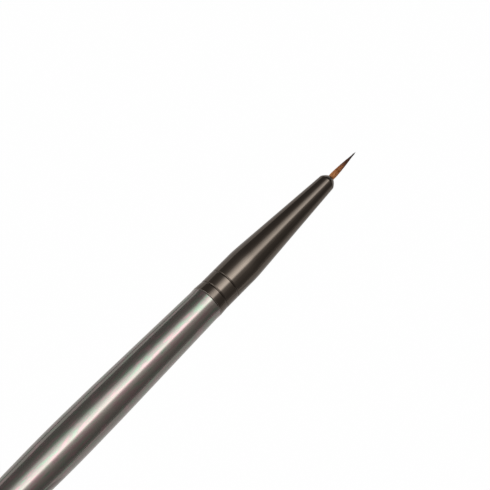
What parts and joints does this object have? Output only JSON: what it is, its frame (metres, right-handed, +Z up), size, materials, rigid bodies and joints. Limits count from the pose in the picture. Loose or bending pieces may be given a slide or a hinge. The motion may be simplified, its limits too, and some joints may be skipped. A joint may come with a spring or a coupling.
{
  "type": "fine detail brush",
  "caption": "Slim miniature-painting brush: turned lacquered handle with a gentle belly, tapered metal ferrule with two crimped rings, and a tiny pointed tuft that flexes.",
  "frame": {"origin": "on the surface that the brush lies on, below the middle of its length and below its axis", "axes": "+X along the brush towards the tip of the tuft, +Z up from the surface it lies on"},
  "size_m": [0.175, 0.0076, 0.0076],
  "materials": {
    "lacquered_wood": "glossy pewter pearl lacquer over turned wood",
    "ferrule_metal": "polished, gunmetal brown plating",
    "hair": "satin filament, orange-brown at the root and nearly black at the tip",
    "thread": "waxed linen",
    "resin": "clear amber epoxy",
    "adhesive": "cured wood glue"
  },
  "bodies": {
    "brush": {"handle": "lacquered_wood", "tenon_adhesive": "adhesive", "ferrule": "ferrule_metal", "root_resin": "resin", "binding_thread": "thread", "hair_roots": "hair"},
    "tuft_heel": {"tuft_heel": "hair"},
    "tuft_tip": {"tuft_tip": "hair"}
  },
  "joints": [
    {"name": "heel_bend", "type": "hinge", "parent": "brush", "child": "tuft_heel", "pos_m": [0.081, 0, 0.00381], "axis": [0, 1, 0], "range_deg": [-25, 25], "stiffness_Nm_per_rad": 0.0004},
    {"name": "tip_bend", "type": "hinge", "parent": "tuft_heel", "child": "tuft_tip", "pos_m": [0.0835, 0, 0.00381], "axis": [0, 0, 1], "range_deg": [-35, 35], "stiffness_Nm_per_rad": 0.0002}
  ]
}
